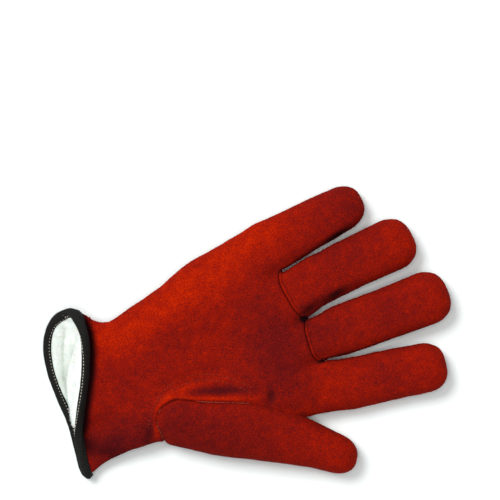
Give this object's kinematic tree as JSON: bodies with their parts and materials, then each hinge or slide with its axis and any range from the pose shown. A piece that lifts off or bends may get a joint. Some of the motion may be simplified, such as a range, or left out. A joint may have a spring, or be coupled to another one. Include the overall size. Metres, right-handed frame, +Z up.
{
  "type": "lined leather driver glove",
  "caption": "Right-hand suede driver glove, palm up, with a keystone thumb, white fleece lining and a black bound cuff that gapes open.",
  "frame": {"origin": "the surface that the glove lies on, under the middle of the hand's back", "axes": "+X along the hand from the cuff to the fingertips, +Y towards the little finger, +Z up out of the palm"},
  "size_m": [0.265, 0.176, 0.033],
  "materials": {
    "suede": "napped split cowhide, dyed red, matte",
    "fleece": "off-white brushed fleece pile",
    "tape": "black woven binding tape, matte"
  },
  "bodies": {
    "root": {"back_panel": "suede", "palm_panel": "suede", "middle_finger_front": "suede", "ring_finger_front": "suede", "fourchette_index_middle": "suede", "fourchette_middle_ring": "suede", "fourchette_ring_little": "suede", "thumb": "suede", "cuff_lining": "fleece", "cuff_binding": "tape"}
  },
  "joints": []
}
